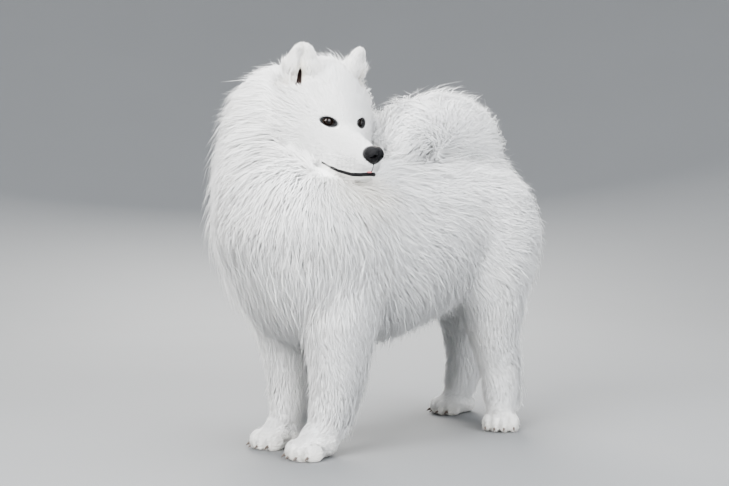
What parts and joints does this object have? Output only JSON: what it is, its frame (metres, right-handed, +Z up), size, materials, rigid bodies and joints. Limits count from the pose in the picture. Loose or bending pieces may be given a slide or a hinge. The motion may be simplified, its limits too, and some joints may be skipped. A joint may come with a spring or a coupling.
{
  "type": "samoyed dog, life-size standing museum model",
  "caption": "Standing white samoyed with a thick ruff, head turned to its left, and a plumed tail curled over its back; a still, life-size animal model.",
  "frame": {"origin": "on the floor under the middle of the dog's bounding box", "axes": "+Z up, the dog's body faces -Y, its left side is +X, and its head is turned to look towards +X"},
  "size_m": [0.3904, 0.8346, 0.8085],
  "materials": {
    "coat": "long soft white fur",
    "eye": "wet dark brown",
    "nose": "moist black leather",
    "claw": "satin horn"
  },
  "bodies": {
    "root": {"claw_forepaw_left_1": "claw", "claw_forepaw_left_2": "claw", "claw_forepaw_left_3": "claw", "claw_forepaw_left_4": "claw", "claw_forepaw_right_1": "claw", "claw_forepaw_right_2": "claw", "claw_forepaw_right_3": "claw", "claw_forepaw_right_4": "claw", "claw_hindpaw_left_1": "claw", "claw_hindpaw_left_2": "claw", "claw_hindpaw_left_3": "claw", "claw_hindpaw_left_4": "claw", "claw_hindpaw_right_1": "claw", "claw_hindpaw_right_2": "claw", "claw_hindpaw_right_3": "claw", "claw_hindpaw_right_4": "claw", "ear_left": "coat", "ear_right": "coat", "eye_left": "eye", "eye_right": "eye", "forearm_left": "coat", "forearm_right": "coat", "forepaw_left": "coat", "forepaw_right": "coat", "head": "coat", "hindpaw_left": "coat", "hindpaw_right": "coat", "lower_jaw": "coat", "neck": "coat", "nose": "nose", "shank_left": "coat", "shank_right": "coat", "tail": "coat", "thigh_left": "coat", "thigh_right": "coat", "torso": "coat"}
  },
  "joints": []
}
